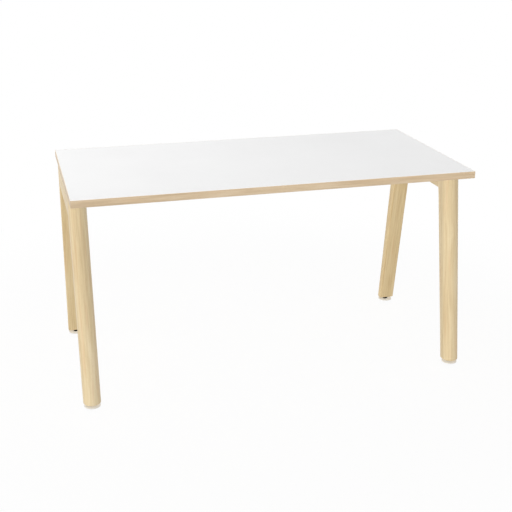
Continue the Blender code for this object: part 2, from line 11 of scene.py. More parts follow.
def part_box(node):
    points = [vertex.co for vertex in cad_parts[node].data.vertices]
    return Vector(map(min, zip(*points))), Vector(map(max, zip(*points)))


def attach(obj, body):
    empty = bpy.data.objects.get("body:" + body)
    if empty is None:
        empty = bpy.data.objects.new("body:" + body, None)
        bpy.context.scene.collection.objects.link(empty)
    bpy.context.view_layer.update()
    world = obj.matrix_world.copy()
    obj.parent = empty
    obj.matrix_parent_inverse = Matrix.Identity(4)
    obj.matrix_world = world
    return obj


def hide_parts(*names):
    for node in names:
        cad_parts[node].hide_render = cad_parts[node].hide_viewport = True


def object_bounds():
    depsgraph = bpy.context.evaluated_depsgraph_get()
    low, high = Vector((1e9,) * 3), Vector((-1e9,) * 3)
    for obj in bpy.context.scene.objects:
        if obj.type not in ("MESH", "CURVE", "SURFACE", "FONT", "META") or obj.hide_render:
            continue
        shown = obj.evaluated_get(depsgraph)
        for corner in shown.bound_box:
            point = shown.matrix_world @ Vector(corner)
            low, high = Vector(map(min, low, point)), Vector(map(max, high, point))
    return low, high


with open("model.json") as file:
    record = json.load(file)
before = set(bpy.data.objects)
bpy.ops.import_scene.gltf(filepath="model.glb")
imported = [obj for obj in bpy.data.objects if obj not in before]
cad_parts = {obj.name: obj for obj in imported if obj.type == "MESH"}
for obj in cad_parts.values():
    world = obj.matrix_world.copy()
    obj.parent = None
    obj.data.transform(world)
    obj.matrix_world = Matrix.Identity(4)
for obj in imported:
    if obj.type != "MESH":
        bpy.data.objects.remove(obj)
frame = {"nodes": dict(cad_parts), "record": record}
CAD_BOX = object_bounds()
TABLE_MIDDLE = sum(CAD_BOX, Vector()) / 2
BODY_OF = {node: body for body, nodes in frame["record"]["behaviour"]["bodies"].items() for node in nodes}
SLOT_OF = {row["node"]: row["material_slot"] for row in frame["record"]["subparts"]}
ENDS = (("left", -1), ("right", 1))
ROWS = (("front", -1), ("rear", 1))
CORNERS = [(f"{row}_{end}", side_x, side_y) for row, side_y in ROWS for end, side_x in ENDS]
BOLT_SPOTS = ("outer", "inner")
ALONG_X, ALONG_Y, ALONG_Z = range(3)

# Sizes of the fine forms, in metres
HAIRLINE = 0.0001
LEVEL_TOLERANCE = 0.00005
BAND_ROUNDING = 0.0008
LEG_CORNER_RADIUS = 0.003
LEG_SEAM_RADIUS = 0.0006
LEG_SEAM_FADE = 0.024
LEG_FOOT_CHAMFER = 0.002
LEG_FOOT_EASE = 0.0006
RAIL_ARRIS = 0.002
COUNTERBORE_DIAMETER = 0.014
COUNTERBORE_EASE = 0.0006
TOP_BOLT_GRIP = 0.040
TOP_BOLT_DIAMETER = 0.0066
FOOT_BORE_DEPTH = 0.039
FOOT_INSERT_DIAMETER = 0.014
FOOT_INSERT_RIM_HEIGHT = 0.0015
FOOT_INSERT_EASE = 0.0004
FIT_GAP = 0.0003
BEAM_WIDTH = 0.020
BEAM_HEIGHT = 0.040
BEAM_WALL = 0.0015
BEAM_CORNER_RADIUS = 0.003
FLANGE_THICKNESS = 0.004
FLANGE_CORNER_RADIUS = 0.005
FLANGE_EASE = 0.0005
WELD_LEG = 0.0028
WELD_ROOT = 0.0004
WELD_RIPPLE_LENGTH = 0.0022
WELD_STEP = 0.0007
SCREW_ACCESS_DIAMETER = 0.012
SCREW_DIAMETER = 0.005
BOLT_DIAMETER = 0.006
BOLT_HEAD_HEIGHT = 0.0045
BOLT_HEAD_EASE = 0.0014
BOLT_KEY_WIDTH = 0.004
BOLT_KEY_DEPTH = 0.0025
BOLT_PITCH = 0.001
BOLT_THREAD_DEPTH = 0.00045
BOLT_TIP_CHAMFER = 0.0008
STUD_DIAMETER = 0.008
STUD_PITCH = 0.00125
STUD_THREAD_DEPTH = 0.0007
STUD_TIP_CHAMFER = 0.001
COLLAR_WIDTH = 0.019
COLLAR_HEIGHT = 0.008
COLLAR_CHAMFER = 0.0008
STUD_NECK_DIAMETER = 0.009
STUD_NECK_HEIGHT = 0.0012
STUD_BEAD_EASE = 0.0004
PAD_ROUNDING = 0.0014
PAD_FOOT_EASE = 0.0004
PAD_FLOOR = 0.0008
PAD_MOUTH_DIAMETER = 0.0096
PAD_ROOM_DIAMETER = 0.0116
PAD_LIP_HEIGHT = 0.0006
PAD_RING_RADIUS = 0.017
PAD_RING_WIDTH = 0.0016
PAD_RING_DEPTH = 0.0004

# Shares of a weld's leg: the swell of its ripples and the points of its hollow face
WELD_RIPPLE = 0.14
WELD_FACE = ((1.0, 0.0), (0.62, 0.34), (0.34, 0.62), (0.0, 1.0))

# Facets of round forms
ROUND_STEPS = 72
ARC_STEPS = 48
EASE_STEPS = 5
THREAD_STEPS = 48
THREAD_LEVELS_PER_TURN = 8
SHARP_ANGLE = math.radians(32)
HEXAGON = math.radians(60)

# Camera, with its azimuth counted from the front to the left
CAMERA_AZIMUTH = math.radians(15)
CAMERA_ELEVATION = math.radians(20)
CAMERA_DISTANCE = 3.618
CAMERA_VIEW_ANGLE = math.radians(30)
CAMERA_SHIFT_X = -0.0006

# Light, with azimuths counted from the front to the right
SKY_STRENGTH = 0.40
KEY_AZIMUTH = math.radians(-18)
KEY_ELEVATION = math.radians(40)
KEY_STRENGTH = 1.72
SIDE_AZIMUTH = math.radians(-85)
SIDE_ELEVATION = math.radians(15)
SIDE_STRENGTH = 0.84
FILL_AZIMUTH = math.radians(130)
FILL_ELEVATION = 0.0
FILL_STRENGTH = 0.9
SUN_SPREAD = math.radians(28)
OVERHEAD_PLACE = (-1.0, 0.2, 1.9)
OVERHEAD_SIZE = 1.6
OVERHEAD_POWER = 4.2

# Floor, just below the lowest place of the feet: the grey that it throws back, and how much shadow it shows
FLOOR_HALF = 30.0
FLOOR_LEVEL = -0.0152
FLOOR_BOUNCE = (0.48, 0.48, 0.48, 1.0)
FLOOR_SHADOW_SHARE = 0.16
FLOOR_SHADOW_NEAR = 0.9
FLOOR_SHADOW_FAR = 2.0
WHITE = (1.0, 1.0, 1.0, 1.0)


# Meshes

def mesh_of(name, shape):
    """Turn a bmesh into a mesh with outward faces, smooth except at its sharp edges."""
    bmesh.ops.recalc_face_normals(shape, faces=shape.faces)
    mesh = bpy.data.meshes.new(name)
    shape.to_mesh(mesh)
    shape.free()
    mesh.shade_smooth()
    mesh.set_sharp_from_angle(angle=SHARP_ANGLE)
    return mesh


def loft(name, rings):
    """Closed skin through rings of equally many points, with a flat cap at both ends."""
    shape = bmesh.new()
    rows = [[shape.verts.new(point) for point in ring] for ring in rings]
    count = len(rows[0])
    for lower, upper in zip(rows, rows[1:]):
        for index in range(count):
            after = (index + 1) % count
            shape.faces.new((lower[index], lower[after], upper[after], upper[index]))
    shape.faces.new(rows[0])
    shape.faces.new(rows[-1])
    return mesh_of(name, shape)


def arc(centre, radius, start, end, steps):
    """Points of a flat arc between two angles in degrees."""
    points = []
    for step in range(steps + 1):
        angle = math.radians(start + (end - start) * step / steps)
        points.append((centre[0] + radius * math.cos(angle), centre[1] + radius * math.sin(angle)))
    return points


def circle(radius, z, steps=ROUND_STEPS):
    """Ring of points about the Z axis."""
    turns = [2 * math.pi * step / steps for step in range(steps)]
    return [(radius * math.cos(turn), radius * math.sin(turn), z) for turn in turns]


def hexagon(width, z, steps=ROUND_STEPS, limit=None):
    """Ring that follows a hexagon of that width across its flats, cut off at the radius limit."""
    ring = []
    for step in range(steps):
        turn = 2 * math.pi * step / steps
        radius = width / 2 / math.cos(turn % HEXAGON - HEXAGON / 2)
        if limit is not None:
            radius = min(radius, limit)
        ring.append((radius * math.cos(turn), radius * math.sin(turn), z))
    return ring


def turned(name, profile, steps=ROUND_STEPS):
    """Round form about Z through (radius, height) points, which begin and end near the axis."""
    return loft(name, [circle(radius, z, steps) for radius, z in profile])


def sleeve(name, profile, steps=ROUND_STEPS):
    """Round form about Z whose closed profile stays clear of the axis."""
    shape = bmesh.new()
    rows = [[shape.verts.new(point) for point in circle(radius, z, steps)] for radius, z in profile]
    for lower, upper in zip(rows, rows[1:] + rows[:1]):
        for index in range(steps):
            after = (index + 1) % steps
            shape.faces.new((lower[index], lower[after], upper[after], upper[index]))
    return mesh_of(name, shape)


def rounded_rectangle(width, height, radius, steps=EASE_STEPS):
    """Outline about the origin with round corners, from the right side over the top."""
    across = width / 2 - radius
    up = height / 2 - radius
    points = []
    for quarter, (side_x, side_y) in enumerate(((1, 1), (-1, 1), (-1, -1), (1, -1))):
        points += arc((side_x * across, side_y * up), radius, 90 * quarter, 90 * quarter + 90, steps)
    return points


def bar(name, middle, stations):
    """Bar along X through (x, outline) stations, each outline lying about the middle in Y and Z."""
    return loft(name, [[(x, middle.y + y, middle.z + z) for y, z in outline] for x, outline in stations])


def thread_rings(low, high, diameter, pitch, depth, chamfer, steps):
    """Rings up a right-hand thread from low to high, running out into a chamfered tip."""
    levels = math.ceil((high - low) / pitch * THREAD_LEVELS_PER_TURN)
    rings = []
    for level in range(levels + 1):
        z = low + (high - low) * level / levels
        tip = diameter / 2 - chamfer + (high - z)
        ring = []
        for step in range(steps):
            turn = 2 * math.pi * step / steps
            phase = (z / pitch - step / steps) % 1.0
            groove = depth * (1.0 - abs(2.0 * phase - 1.0))
            radius = min(diameter / 2 - groove, tip)
            ring.append((radius * math.cos(turn), radius * math.sin(turn), z))
        rings.append(ring)
    return rings


def shaped(mesh, added=(), removed=()):
    """Join closed meshes to a mesh, cut others out of it, and give the result."""
    blank = bpy.data.objects.new(mesh.name, mesh)
    bpy.context.scene.collection.objects.link(blank)
    helpers = []
    steps = [(tool, "UNION") for tool in added] + [(tool, "DIFFERENCE") for tool in removed]
    for tool, operation in steps:
        helper = bpy.data.objects.new("tool", tool)
        bpy.context.scene.collection.objects.link(helper)
        helpers.append(helper)
        boolean = blank.modifiers.new("shape", "BOOLEAN")
        boolean.operation = operation
        boolean.solver = "MANIFOLD"
        boolean.object = helper
    bpy.context.view_layer.update()
    depsgraph = bpy.context.evaluated_depsgraph_get()
    result = bpy.data.meshes.new_from_object(blank.evaluated_get(depsgraph))
    for helper in helpers + [blank]:
        bpy.data.objects.remove(helper)
    result.shade_smooth()
    result.set_sharp_from_angle(angle=SHARP_ANGLE)
    return result


def moved(mesh, location, turn=None):
    """Turn a mesh about the origin, shift it and give it back."""
    rotation = turn.to_4x4() if turn else Matrix.Identity(4)
    mesh.transform(Matrix.Translation(location) @ rotation)
    return mesh


# Materials

def linear(red, green, blue):
    """Display colour, 0 to 255, as the renderer's linear colour by the usual curve of screens."""
    channels = []
    for value in (red, green, blue):
        share = value / 255
        channels.append(share / 12.92 if share <= 0.04045 else ((share + 0.055) / 1.055) ** 2.4)
    return (*channels, 1.0)


# Range that most values of a noise lie in, and the whole range of a share
NOISE_RANGE = (0.3, 0.7)
WHOLE_RANGE = (0.0, 1.0)


class Finish:
    """Material whose nodes are added one by one to its Principled shader."""

    def __init__(self, name, lean=0.0):
        """lean turns the pattern about X, for a piece that leans along the table's depth."""
        self.material = bpy.data.materials.new(name)
        self.material.use_nodes = True
        self.tree = self.material.node_tree
        self.shader = self.tree.nodes["Principled BSDF"]
        self.place = self.node("ShaderNodeTexCoord").outputs["Object"]
        if lean:
            upright = self.node("ShaderNodeVectorRotate", rotation_type="X_AXIS")
            upright.inputs["Angle"].default_value = lean
            self.feed(self.place, upright.inputs["Vector"])
            self.place = upright.outputs["Vector"]

    def node(self, kind, **settings):
        """Add a node of that kind with its settings."""
        made = self.tree.nodes.new(kind)
        for key, value in settings.items():
            setattr(made, key, value)
        return made

    def feed(self, source, target):
        """Link an output to an input."""
        self.tree.links.new(source, target)

    def fixed(self, **values):
        """Set sockets of the shader that are the same all over."""
        for key, value in values.items():
            self.shader.inputs[key.replace("_", " ")].default_value = value

    def stretched(self, scale, shift):
        """Object coordinates, scaled along each axis and shifted."""
        mapping = self.node("ShaderNodeMapping")
        mapping.inputs["Scale"].default_value = scale
        mapping.inputs["Location"].default_value = shift
        self.feed(self.place, mapping.inputs["Vector"])
        return mapping.outputs["Vector"]

    def noise(self, place, scale, detail, roughness=0.55, distortion=0.0):
        """Values of a noise at those coordinates."""
        texture = self.node("ShaderNodeTexNoise")
        texture.inputs["Scale"].default_value = scale
        texture.inputs["Detail"].default_value = detail
        texture.inputs["Roughness"].default_value = roughness
        texture.inputs["Distortion"].default_value = distortion
        self.feed(place, texture.inputs["Vector"])
        return texture.outputs["Fac"]

    def remap(self, source, old_range, new_range, smooth=False):
        """Carry values over from one range to another."""
        step = self.node("ShaderNodeMapRange")
        if smooth:
            step.interpolation_type = "SMOOTHSTEP"
        self.feed(source, step.inputs["Value"])
        for key, value in zip(("From Min", "From Max", "To Min", "To Max"), (*old_range, *new_range)):
            step.inputs[key].default_value = value
        return step.outputs["Result"]

    def math(self, operation, first, second):
        """Combine two values, each of them an output or a number."""
        step = self.node("ShaderNodeMath", operation=operation)
        for socket, value in zip(step.inputs, (first, second)):
            if isinstance(value, (int, float)):
                socket.default_value = value
            else:
                self.feed(value, socket)
        return step.outputs["Value"]

    def weighted(self, first, first_weight, second, second_weight):
        """Sum of two values, each times its weight."""
        return self.math("ADD", self.math("MULTIPLY", first, first_weight),
                         self.math("MULTIPLY", second, second_weight))

    def ramp(self, source, stops):
        """Colour ramp through (position, colour) stops."""
        ramp = self.node("ShaderNodeValToRGB")
        elements = ramp.color_ramp.elements
        while len(elements) < len(stops):
            elements.new(0.5)
        for element, (position, colour) in zip(elements, stops):
            element.position = position
            element.color = colour
        self.feed(source, ramp.inputs["Fac"])
        return ramp.outputs["Color"]

    def clouded(self, source, tones):
        """Colour that drifts between two tones by a noise."""
        return self.ramp(source, tuple(zip(NOISE_RANGE, tones)))

    def shade(self, colour, factor, tone):
        """Mix a colour towards a fixed tone by a factor."""
        mix = self.node("ShaderNodeMix", data_type="RGBA")
        self.feed(factor, mix.inputs["Factor"])
        self.feed(colour, mix.inputs["A"])
        mix.inputs["B"].default_value = tone
        return mix.outputs["Result"]

    def bump(self, height, strength, distance):
        """Raise the surface by a height."""
        node = self.node("ShaderNodeBump")
        node.inputs["Strength"].default_value = strength
        node.inputs["Distance"].default_value = distance
        self.feed(height, node.inputs["Height"])
        self.feed(node.outputs["Normal"], self.shader.inputs["Normal"])

    def colour(self, source):
        """Give the surface its colour."""
        self.feed(source, self.shader.inputs["Base Color"])

    def rough(self, source):
        """Give the surface its roughness."""
        self.feed(source, self.shader.inputs["Roughness"])


# Patterns of wood: how each is stretched along the grain, and the noise that makes it
TONE_STRETCH = 0.10
RING_STRETCH = 0.045
BLUSH_STRETCH = 0.07
STREAK_STRETCH = 0.016
PORE_STRETCH = 0.045
TONE_NOISE = {"scale": 16.0, "detail": 2.0}
WARP_NOISE = {"scale": 14.0, "detail": 3.0, "roughness": 0.5, "distortion": 0.6}
RING_NOISE = {"scale": 95.0, "detail": 2.0, "roughness": 0.4, "distortion": 1.2}
BLUSH_NOISE = {"scale": 70.0, "detail": 1.0}
STREAK_NOISE = {"scale": 420.0, "detail": 4.0, "roughness": 0.6}
PORE_NOISE = {"scale": 1500.0, "detail": 2.0, "roughness": 0.5}

# Patterns of wood: how much each counts, and the noise values at which blush and pores set in and are full
TONE_WEIGHT = 0.26
WARP_WEIGHT = 0.16
RING_WEIGHT = 0.32
STREAK_WEIGHT = 0.26
GRAIN_MIDDLE = 0.5
GRAIN_SPREAD = 0.16
BLUSH_RANGE = (0.52, 0.74)
BLUSH_SHARE = 0.16
PORE_RANGE = (0.60, 0.72)
PORE_SHARE = 0.36
STREAK_RELIEF = 0.5

# Contrast of the grain, and place in its pattern, by kind of piece
LEG_CONTRAST = 1.6
BAND_CONTRAST = 2.0
TENON_CONTRAST = 1.2
LEG_PATTERN_STEP = (0.37, 0.61, 1.9)
RAIL_PATTERN = {"left": (-1.3, 0.4, 2.2), "right": (1.3, 0.4, 2.2)}
TENON_PATTERN = (0.7, 0.1, 0.4)
# Hole walls of the rails: darker end grain with painted shade
HOLE_WALL_SHADE_PATTERN = (0.2, 0.9, 0.3)

# Tones of wood, from dark to light
LEG_TONES = (linear(217, 193, 151), linear(230, 209, 168), linear(239, 221, 185))
# Warmer copy of the leg tones for the rear legs: painted warm shade
REAR_LEG_WARM_SHADE_TONES = (linear(217, 189, 141), linear(230, 205, 157), linear(239, 217, 174))
LEG_PORE = linear(190, 163, 120)
BAND_TONES = (linear(212, 187, 153), linear(226, 201, 167), linear(235, 213, 182))
# Darker copy of the band tones for the left and right bands: painted shade
SIDE_BAND_SHADE_TONES = (linear(197, 175, 146), linear(210, 188, 159), linear(219, 199, 172))
BAND_PORE = linear(178, 150, 116)
# Walls of the rails' bolt holes: darker end grain, darkened further by painted shade
HOLE_WALL_SHADE_TONES = (linear(92, 70, 45), linear(104, 81, 54), linear(116, 92, 63))
HOLE_WALL_SHADE_PORE = linear(70, 50, 32)
BEECH_TONES = (linear(190, 150, 112), linear(203, 165, 127), linear(214, 180, 144))
BEECH_PORE = linear(158, 112, 76)
BLUSH_TONE = linear(222, 178, 132)
CHIP_TONES = (linear(150, 112, 72), linear(188, 150, 104), linear(214, 182, 138))

# Tones of sheets, plastics and metals, from dark to light
LAMINATE_TONES = (linear(244, 244, 244), linear(247, 247, 247))
BACKING_TONES = (linear(226, 225, 222), linear(233, 232, 229))
# Pale tone of the bands' rounded upper and lower edges: a painted highlight
BAND_RIM_HIGHLIGHT_TONES = (linear(244, 235, 221), linear(248, 241, 229))
PAD_TONES = (linear(226, 222, 213), linear(233, 229, 221))
PAINT_TONES = (linear(226, 226, 224), linear(232, 232, 230))
ZINC_TONES = (linear(196, 198, 202), linear(214, 216, 219))
INSERT_TONES = (linear(196, 184, 142), linear(214, 203, 164))
BLACK_TONES = (linear(15, 13, 10), linear(22, 19, 15))
# Inside of the beams' tubes: bare steel, darkened further by painted shade
BARE_STEEL_SHADE_TONES = (linear(44, 43, 42), linear(58, 57, 55))

# Chips of the core board: how close they lie, and how they lie along each axis
CHIP_SCALE = 420.0
CHIP_STRETCH = (0.4, 1.0, 2.2)

# Range of roughness over a surface, or half of it, and depth of the fine relief in metres
WOOD_ROUGHNESS = (0.50, 0.40)
LAMINATE_ROUGHNESS = (0.50, 0.58)
BACKING_ROUGHNESS = (0.50, 0.62)
PLASTIC_ROUGHNESS_SWAY = 0.06
METAL_ROUGHNESS_SWAY = 0.08
SKIN_DEPTH = 0.0002
BACKING_DEPTH = 0.0003
GRAIN_DEPTH = 0.0004
CHIP_DEPTH = 0.0005


def along(axis, ratio):
    """Scale that stretches a pattern along the grain's axis."""
    return tuple(ratio if index == axis else 1.0 for index in range(3))


def wood(name, axis, shift, tones, pore_tone, contrast=1.0, lean=0.0):
    """Pale close-grained wood: drifting tone, rings, blush, streaks and short pores along one axis."""
    finish = Finish(name, lean)

    def pattern(stretch, noise):
        """Noise drawn out along the grain."""
        return finish.noise(finish.stretched(along(axis, stretch), shift), **noise)

    tone = pattern(TONE_STRETCH, TONE_NOISE)
    warp = pattern(RING_STRETCH, WARP_NOISE)
    ring = pattern(RING_STRETCH, RING_NOISE)
    blush = pattern(BLUSH_STRETCH, BLUSH_NOISE)
    streak = pattern(STREAK_STRETCH, STREAK_NOISE)
    pore = pattern(PORE_STRETCH, PORE_NOISE)
    broad = finish.weighted(tone, TONE_WEIGHT, warp, WARP_WEIGHT)
    narrow = finish.weighted(ring, RING_WEIGHT, streak, STREAK_WEIGHT)
    spread = GRAIN_SPREAD / contrast
    grain_range = (GRAIN_MIDDLE - spread, GRAIN_MIDDLE + spread)
    level = finish.remap(finish.math("ADD", broad, narrow), grain_range, WHOLE_RANGE)
    colour = finish.ramp(level, tuple(zip((0.0, 0.5, 1.0), tones)))
    warmth = finish.remap(blush, BLUSH_RANGE, (0.0, BLUSH_SHARE * contrast), smooth=True)
    dash = finish.remap(pore, PORE_RANGE, (0.0, PORE_SHARE), smooth=True)
    finish.colour(finish.shade(finish.shade(colour, warmth, BLUSH_TONE), dash, pore_tone))
    finish.rough(finish.remap(streak, NOISE_RANGE, WOOD_ROUGHNESS))
    relief = finish.math("SUBTRACT", finish.math("MULTIPLY", streak, STREAK_RELIEF), dash)
    finish.bump(relief, strength=0.10, distance=GRAIN_DEPTH)
    finish.fixed(Specular_IOR_Level=0.4)
    return finish.material


def white_laminate():
    """Satin white sheet with a faint pressed texture."""
    finish = Finish("white_laminate_look")
    cloud = finish.noise(finish.place, scale=3.0, detail=3.0)
    peel = finish.noise(finish.place, scale=900.0, detail=2.0)
    finish.colour(finish.clouded(cloud, LAMINATE_TONES))
    finish.rough(finish.remap(peel, NOISE_RANGE, LAMINATE_ROUGHNESS))
    finish.bump(peel, strength=0.05, distance=SKIN_DEPTH)
    finish.fixed(Specular_IOR_Level=0.2)
    return finish.material


def backing_laminate():
    """Plain off-white sheet, coarser than the one above."""
    finish = Finish("backing_laminate_look")
    cloud = finish.noise(finish.place, scale=7.0, detail=4.0)
    peel = finish.noise(finish.place, scale=600.0, detail=3.0)
    finish.colour(finish.clouded(cloud, BACKING_TONES))
    finish.rough(finish.remap(peel, NOISE_RANGE, BACKING_ROUGHNESS))
    finish.bump(peel, strength=0.12, distance=BACKING_DEPTH)
    return finish.material


def core_board():
    """Pressed chips of mixed tone."""
    finish = Finish("core_board_look")
    chips = finish.node("ShaderNodeTexVoronoi")
    chips.inputs["Scale"].default_value = CHIP_SCALE
    finish.feed(finish.stretched(CHIP_STRETCH, (0, 0, 0)), chips.inputs["Vector"])
    tone = finish.noise(chips.outputs["Color"], scale=3.0, detail=1.0)
    low, high = NOISE_RANGE
    finish.colour(finish.ramp(tone, tuple(zip((low, 0.5, high), CHIP_TONES))))
    finish.bump(chips.outputs["Distance"], strength=0.3, distance=CHIP_DEPTH)
    finish.fixed(Roughness=0.85)
    return finish.material


def moulded(name, tones, roughness, grain):
    """Moulded plastic with a fine even texture."""
    finish = Finish(name)
    cloud = finish.noise(finish.place, scale=60.0, detail=3.0)
    skin = finish.noise(finish.place, scale=grain, detail=2.0)
    finish.colour(finish.clouded(cloud, tones))
    sway = PLASTIC_ROUGHNESS_SWAY
    finish.rough(finish.remap(skin, NOISE_RANGE, (roughness - sway, roughness + sway)))
    finish.bump(skin, strength=0.12, distance=SKIN_DEPTH)
    return finish.material


def metal(name, tones, metallic, roughness, grain, relief, shine=0.5):
    """Coated, plated or bare steel: cloudy tone, uneven gloss and a fine surface."""
    finish = Finish(name)
    cloud = finish.noise(finish.place, scale=45.0, detail=4.0)
    skin = finish.noise(finish.place, scale=grain, detail=3.0)
    finish.colour(finish.clouded(cloud, tones))
    sway = METAL_ROUGHNESS_SWAY
    finish.rough(finish.remap(skin, NOISE_RANGE, (roughness - sway, roughness + sway)))
    finish.bump(skin, strength=relief, distance=SKIN_DEPTH)
    finish.fixed(Metallic=metallic, Specular_IOR_Level=shine)
    return finish.material


SLOT_FINISH = {
    "white_laminate": white_laminate(),
    "backing_laminate": backing_laminate(),
    "core_board": core_board(),
    "tenon_wood": wood("tenon_wood_look", ALONG_Y, TENON_PATTERN, BEECH_TONES, BEECH_PORE, TENON_CONTRAST),
    "painted_steel": metal("painted_steel_look", PAINT_TONES, metallic=0.0, roughness=0.5,
                           grain=1600.0, relief=0.2),
    "zinc_steel": metal("zinc_steel_look", ZINC_TONES, metallic=1.0, roughness=0.34,
                        grain=900.0, relief=0.05),
    "insert_steel": metal("insert_steel_look", INSERT_TONES, metallic=1.0, roughness=0.36,
                          grain=900.0, relief=0.05),
    "pad_plastic": moulded("pad_plastic_look", PAD_TONES, roughness=0.55, grain=1500.0),
    "black_steel": metal("black_steel_look", BLACK_TONES, metallic=0.0, roughness=0.55,
                         grain=1200.0, relief=0.08, shine=0.1),
}


# Placing pieces

def dress(node, mesh, finish=None, matrix=None, lining=None, lined=None):
    """Show a finer piece in place of a solid, on its body. A lining goes on the faces that a test picks."""
    lined_faces = [] if lining is None else [lined(face.center) for face in mesh.polygons]
    piece = bpy.data.objects.new(f"{node}_look", mesh)
    bpy.context.scene.collection.objects.link(piece)
    if matrix is not None:
        mesh.transform(matrix.inverted())
        piece.matrix_world = matrix
    mesh.materials.clear()
    mesh.materials.append(finish or SLOT_FINISH[SLOT_OF[node]])
    if lining is not None:
        mesh.materials.append(lining)
        mesh.polygons.foreach_set("material_index", lined_faces)
    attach(piece, BODY_OF[node])
    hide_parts(node)


def depth_span(node, z):
    """Lowest and highest Y of a solid's points at height z."""
    points = [vertex.co for vertex in frame["nodes"][node].data.vertices]
    values = [point.y for point in points if abs(point.z - z) < LEVEL_TOLERANCE]
    return min(values), max(values)


def middle_of(node):
    """Middle of a solid's box."""
    low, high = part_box(node)
    return (low + high) / 2


# Top

def laminate_sheet(node):
    """Thin sheet that runs out to the edge bands."""
    low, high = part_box(node)
    reach_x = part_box("edge_band_right")[0].x - HAIRLINE
    reach_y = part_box("edge_band_rear")[0].y - HAIRLINE
    outline = [(-reach_x, -reach_y), (reach_x, -reach_y), (reach_x, reach_y), (-reach_x, reach_y)]
    return loft(node, [[(x, y, z) for x, y in outline] for z in (low.z, high.z)])


def band(node, axis, outward):
    """Edge band with rounded long edges, running along X, or along Y between the two others."""
    low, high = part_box(node)
    across = 1 - axis
    inner, outer = (low[across], high[across]) if outward > 0 else (high[across], low[across])
    if axis == ALONG_Y:
        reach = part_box("edge_band_rear")[0].y - HAIRLINE
        ends = (-reach, reach)
    else:
        ends = (low[axis], high[axis])
    turn_in = outer - outward * BAND_ROUNDING
    section = [(inner, low.z), (inner, high.z)]
    for z, start, end in ((high.z - BAND_ROUNDING, 90, 0), (low.z + BAND_ROUNDING, 0, -90)):
        for out, up in arc((0, 0), BAND_ROUNDING, start, end, EASE_STEPS):
            section.append((turn_in + outward * out, z + up))
    rings = []
    for place in ends:
        rings.append([(place, a, z) if axis == ALONG_X else (a, place, z) for a, z in section])
    return loft(node, rings)


def band_rim(node):
    """Test of whether a point lies on the rounded upper or lower edge of a band, which takes a painted
    highlight.
    """
    low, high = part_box(node)
    middle = (low.z + high.z) / 2
    reach = (high.z - low.z - BAND_ROUNDING) / 2

    def test(point):
        return abs(point.z - middle) > reach

    return test


def dress_top():
    """Sheet and edge bands, whose rounded upper and lower edges take a pale tone as a painted highlight."""
    dress("top_laminate", laminate_sheet("top_laminate"))
    # Pale painted highlight on the bands' rounded upper and lower edges
    body = moulded("band_rim_highlight_look", BAND_RIM_HIGHLIGHT_TONES, roughness=0.55, grain=1500.0)
    sides = (("front", ALONG_X, -1, 0.2), ("rear", ALONG_X, 1, 1.7),
             ("left", ALONG_Y, -1, 3.1), ("right", ALONG_Y, 1, 4.4))
    for side, axis, outward, start in sides:
        node = f"edge_band_{side}"
        # The left and right bands take the darker tones: painted shade
        tones = BAND_TONES if axis == ALONG_X else SIDE_BAND_SHADE_TONES
        shift = (start, 2 * start, 0.5)
        finish = wood(f"edge_wood_{side}_look", axis, shift, tones, BAND_PORE, BAND_CONTRAST)
        dress(node, band(node, axis, outward), finish, lining=body, lined=band_rim(node))


# End frames

class LegForm:
    """The tapered, leaning D section of one leg, measured from its solid."""

    def __init__(self, node, side_y):
        self.node = node
        self.side = side_y
        low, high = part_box(node)
        self.bottom = low.z
        self.top = high.z
        self.x = (low.x + high.x) / 2
        self.radius = (high.x - low.x) / 2
        self.upper = self.faces(self.top)
        self.lower = self.faces(self.bottom + LEG_FOOT_CHAMFER)

    def faces(self, z):
        """Places of the flat inner face and of the crest of the half-round, counted outwards."""
        return sorted(abs(y) for y in depth_span(self.node, z))

    def section(self, z, inset=0.0, corner=LEG_CORNER_RADIUS):
        """Ring of the leg at height z, drawn in by the inset."""
        start = self.bottom + LEG_FOOT_CHAMFER
        share = (z - start) / (self.top - start)
        inner, outer = (a + (b - a) * share for a, b in zip(self.lower, self.upper))
        centre = outer - self.radius
        radius = self.radius - inset
        back = centre - inner - inset
        outline = arc((0, 0), radius, 0, 180, ARC_STEPS)
        outline += arc((corner - radius, corner - back), corner, 180, 270, EASE_STEPS)
        outline += arc((radius - corner, corner - back), corner, 270, 360, EASE_STEPS)
        return [(self.x + self.side * x, self.side * (centre + y), z) for x, y in outline]

    def foot_rings(self):
        """Chamfer round the leg's bottom, with its upper and lower edge eased."""
        ease = LEG_FOOT_EASE
        slope = LEG_FOOT_CHAMFER
        steps = ((0.0, slope + ease / 2), (ease / 2, slope), (slope - ease / 2, ease / 2),
                 (slope, 0.0), (slope + ease, -ease / 4))
        return [self.section(self.bottom + up, max(inset, 0.0)) for up, inset in steps]

    def lean(self):
        """Turn about X that sets the leg's middle line upright."""
        inward = (sum(self.lower) - sum(self.upper)) / 2
        return -self.side * math.atan2(inward, self.top - self.bottom)

    def foot(self):
        """Frame on the floor under the leg's bottom."""
        return Matrix.Translation((self.x, self.side * sum(self.lower) / 2, 0))


def leg_mesh(form, rail_bottom, foot):
    """Leg with the stepped bore of its insert, and sharper corners where it meets the rail."""
    rings = form.foot_rings()
    rings.append(form.section(rail_bottom - LEG_SEAM_FADE))
    rings.append(form.section(rail_bottom, corner=LEG_SEAM_RADIUS))
    rings.append(form.section(form.top, corner=LEG_SEAM_RADIUS))
    low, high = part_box(form.node.replace("leg", "foot_insert"))
    rim = (high.x - low.x) / 2 + HAIRLINE
    body = FOOT_INSERT_DIAMETER / 2 + HAIRLINE
    room = STUD_DIAMETER / 2 + FIT_GAP
    seat = low.z + FOOT_INSERT_RIM_HEIGHT + HAIRLINE
    profile = [(rim, form.bottom - LEG_FOOT_CHAMFER), (rim, seat), (body, seat), (body, high.z),
               (room, high.z), (room, form.bottom + FOOT_BORE_DEPTH)]
    bore = moved(turned("bore", profile), (foot.x, foot.y, 0))
    return shaped(loft(form.node, rings), removed=[bore])


